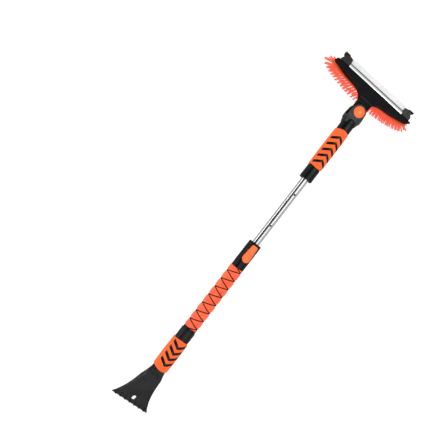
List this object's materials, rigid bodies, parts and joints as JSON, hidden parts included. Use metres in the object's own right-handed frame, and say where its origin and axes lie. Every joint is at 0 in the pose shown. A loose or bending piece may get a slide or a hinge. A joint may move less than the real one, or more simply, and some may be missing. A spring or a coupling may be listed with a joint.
{
  "type": "telescopic snow brush and ice scraper",
  "caption": "Telescopic pole with a foam grip and release lever, a flared ice scraper at one end and a pivoting snow brush with a squeegee at the other.",
  "frame": {"origin": "middle of the bounding box in X and Y, on the plane of the bristle tips (Z = 0)", "axes": "+X along the pole towards the brush head, +Y across the tool, +Z out of the front face with the release lever and the pivot button, away from the bristle tips"},
  "size_m": [0.985, 0.28, 0.065],
  "materials": {
    "black_plastic": "satin",
    "head_black": "matte",
    "orange_grip": "matte",
    "foam": "matte",
    "button_orange": "satin",
    "bristle": "satin",
    "aluminium": "satin",
    "outer_aluminium": "satin",
    "channel_aluminium": "polished",
    "steel": "zinc plated",
    "spring_steel": "bright",
    "squeegee_rubber": "translucent",
    "nylon": "natural"
  },
  "bodies": {
    "pole": {"outer_tube": "outer_aluminium", "foam_grip": "foam", "lower_plug": "black_plastic", "lock_housing": "black_plastic", "lever_pin": "steel", "lever_spring": "spring_steel", "throat_bush": "nylon", "lower_snap_spring": "spring_steel"},
    "lower_button": {"lower_snap_button": "button_orange"},
    "release": {"release_lever": "button_orange", "lock_pin": "steel"},
    "inner_pole": {"inner_tube": "aluminium", "inner_guide_bush": "nylon", "upper_plug": "black_plastic", "upper_snap_spring": "spring_steel"},
    "upper_button": {"upper_snap_button": "button_orange"},
    "scraper": {"scraper_head": "black_plastic", "scraper_grip": "orange_grip"},
    "handle": {"brush_handle": "black_plastic", "brush_grip": "orange_grip", "pivot_back_cap": "button_orange", "pivot_spring": "spring_steel"},
    "pivot_lock": {"pivot_button": "button_orange", "lock_gear": "nylon"},
    "brush": {"head_body": "head_black", "bristle_block": "bristle", "bristle_plate": "head_black", "plate_screws": "steel", "squeegee_channel": "channel_aluminium", "squeegee_blade": "squeegee_rubber", "left_clip": "black_plastic", "right_clip": "black_plastic"}
  },
  "joints": [
    {"name": "telescope", "type": "slide", "parent": "pole", "child": "inner_pole", "axis": [1, 0, 0], "range_m": [-0.188, 0]},
    {"name": "release_lever_tilt", "type": "hinge", "parent": "pole", "child": "release", "pos_m": [-0.0215, 0, 0.0568], "axis": [0, 1, 0], "range_deg": [-7.6, 0], "deforming": ["lever_spring"]},
    {"name": "lower_snap", "type": "slide", "parent": "pole", "child": "lower_button", "axis": [0, 0, -1], "range_m": [0, 0.003], "deforming": ["lower_snap_spring"]},
    {"name": "scraper_detach", "type": "slide", "parent": "pole", "child": "scraper", "axis": [-1, 0, 0], "range_m": [0, 0.06]},
    {"name": "upper_snap", "type": "slide", "parent": "inner_pole", "child": "upper_button", "axis": [0, 0, -1], "range_m": [0, 0.003], "deforming": ["upper_snap_spring"]},
    {"name": "brush_detach", "type": "slide", "parent": "inner_pole", "child": "handle", "axis": [1, 0, 0], "range_m": [0, 0.06]},
    {"name": "pivot_button_push", "type": "slide", "parent": "handle", "child": "pivot_lock", "axis": [0, 0, 1], "range_m": [0, 0.003], "deforming": ["pivot_spring"]},
    {"name": "head_pivot", "type": "hinge", "parent": "handle", "child": "brush", "pos_m": [0.4025, 0, 0.044], "axis": [0, 0, 1], "range_deg": [-90, 90]}
  ]
}
